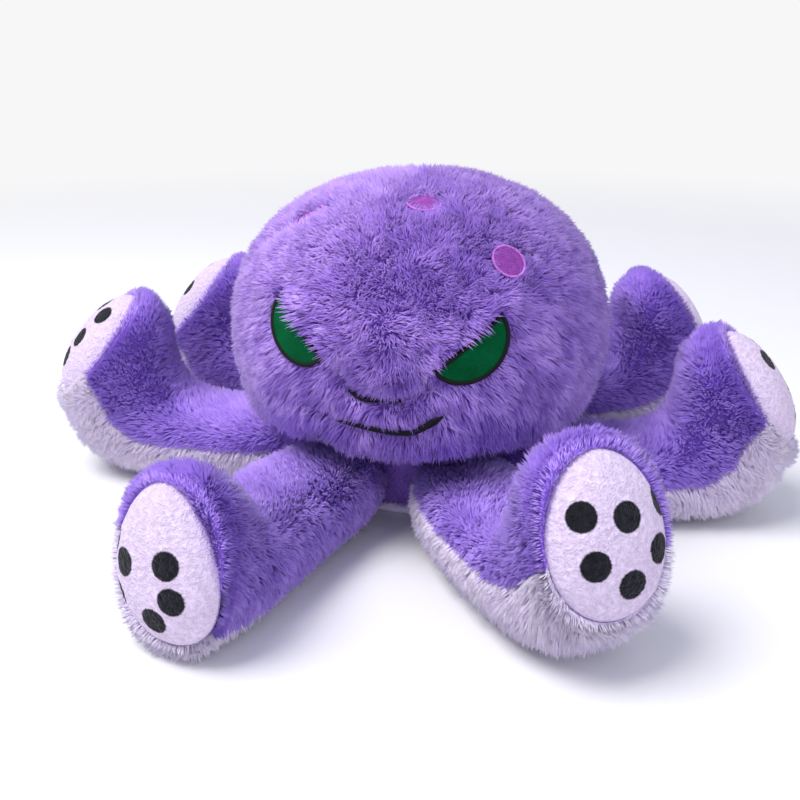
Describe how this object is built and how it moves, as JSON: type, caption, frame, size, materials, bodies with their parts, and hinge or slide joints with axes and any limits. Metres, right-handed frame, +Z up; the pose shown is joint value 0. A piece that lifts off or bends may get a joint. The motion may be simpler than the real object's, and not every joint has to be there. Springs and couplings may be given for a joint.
{
  "type": "plush octopus",
  "caption": "Stuffed plush octopus: a round long-pile head with felt eyes on a flat base, ringed by curled stuffed arms that end in velour pads.",
  "frame": {"origin": "centre of the base panel's flat underside, on the surface that the toy rests on", "axes": "+Z up, -Y the way the face looks, +X to the right as seen from the front"},
  "size_m": [0.4218, 0.3411, 0.1825],
  "materials": {
    "head_fur": "long pile, soft and matt",
    "arm_fur": "long pile, soft and matt",
    "lavender_fur": "long pile, soft and matt",
    "pad_velour": "short velour pile with printed dots",
    "eye_felt": "smooth felt",
    "black_thread": "satin stitch",
    "magenta_thread": "machine embroidery",
    "pink_thread": "satin stitch",
    "stuffing": "polyester fibre"
  },
  "bodies": {
    "head": {"head_front_fur": "head_fur", "head_rear_fur": "head_fur", "head_stuffing": "stuffing", "base_panel": "lavender_fur", "eye_left_felt": "eye_felt", "eye_left_border": "black_thread", "eye_right_felt": "eye_felt", "eye_right_border": "black_thread", "crown_spot_left": "magenta_thread", "crown_spot_left_rim": "pink_thread", "crown_spot_centre": "magenta_thread", "crown_spot_centre_rim": "pink_thread", "crown_spot_right": "magenta_thread", "crown_spot_right_rim": "pink_thread", "mouth_line_lower": "black_thread", "mouth_line_upper": "black_thread"},
    "arm_front_left": {"arm_front_left_top_fur": "arm_fur", "arm_front_left_underside_fur": "lavender_fur", "arm_front_left_stuffing": "stuffing", "arm_front_left_pad": "pad_velour"},
    "arm_front_right": {"arm_front_right_top_fur": "arm_fur", "arm_front_right_underside_fur": "lavender_fur", "arm_front_right_stuffing": "stuffing", "arm_front_right_pad": "pad_velour"},
    "arm_middle_left": {"arm_middle_left_top_fur": "arm_fur", "arm_middle_left_underside_fur": "lavender_fur", "arm_middle_left_stuffing": "stuffing", "arm_middle_left_pad": "pad_velour"},
    "arm_middle_right": {"arm_middle_right_top_fur": "arm_fur", "arm_middle_right_underside_fur": "lavender_fur", "arm_middle_right_stuffing": "stuffing", "arm_middle_right_pad": "pad_velour"},
    "arm_back_left": {"arm_back_left_top_fur": "arm_fur", "arm_back_left_underside_fur": "lavender_fur", "arm_back_left_stuffing": "stuffing", "arm_back_left_pad": "pad_velour"},
    "arm_back_right": {"arm_back_right_top_fur": "arm_fur", "arm_back_right_underside_fur": "lavender_fur", "arm_back_right_stuffing": "stuffing", "arm_back_right_pad": "pad_velour"}
  },
  "joints": [
    {"name": "arm_front_left_lift", "type": "hinge", "parent": "head", "child": "arm_front_left", "pos_m": [-0.036, -0.06235, 0.024], "axis": [-0.866, 0.5, 0], "range_deg": [-25, 20], "stiffness_Nm_per_rad": 1.5},
    {"name": "arm_front_right_lift", "type": "hinge", "parent": "head", "child": "arm_front_right", "pos_m": [0.036, -0.06235, 0.024], "axis": [-0.866, -0.5, 0], "range_deg": [-25, 20], "stiffness_Nm_per_rad": 1.5},
    {"name": "arm_middle_left_lift", "type": "hinge", "parent": "head", "child": "arm_middle_left", "pos_m": [-0.07161, -0.00753, 0.024], "axis": [-0.1045, 0.9945, 0], "range_deg": [-25, 20], "stiffness_Nm_per_rad": 1.5},
    {"name": "arm_middle_right_lift", "type": "hinge", "parent": "head", "child": "arm_middle_right", "pos_m": [0.0713, -0.01002, 0.024], "axis": [-0.1392, -0.9903, 0], "range_deg": [-25, 20], "stiffness_Nm_per_rad": 1.5},
    {"name": "arm_back_left_lift", "type": "hinge", "parent": "head", "child": "arm_back_left", "pos_m": [-0.0491, 0.05266, 0.024], "axis": [0.7314, 0.682, 0], "range_deg": [-25, 20], "stiffness_Nm_per_rad": 1.5},
    {"name": "arm_back_right_lift", "type": "hinge", "parent": "head", "child": "arm_back_right", "pos_m": [0.04628, 0.05516, 0.024], "axis": [0.766, -0.6428, 0], "range_deg": [-25, 20], "stiffness_Nm_per_rad": 1.5}
  ]
}
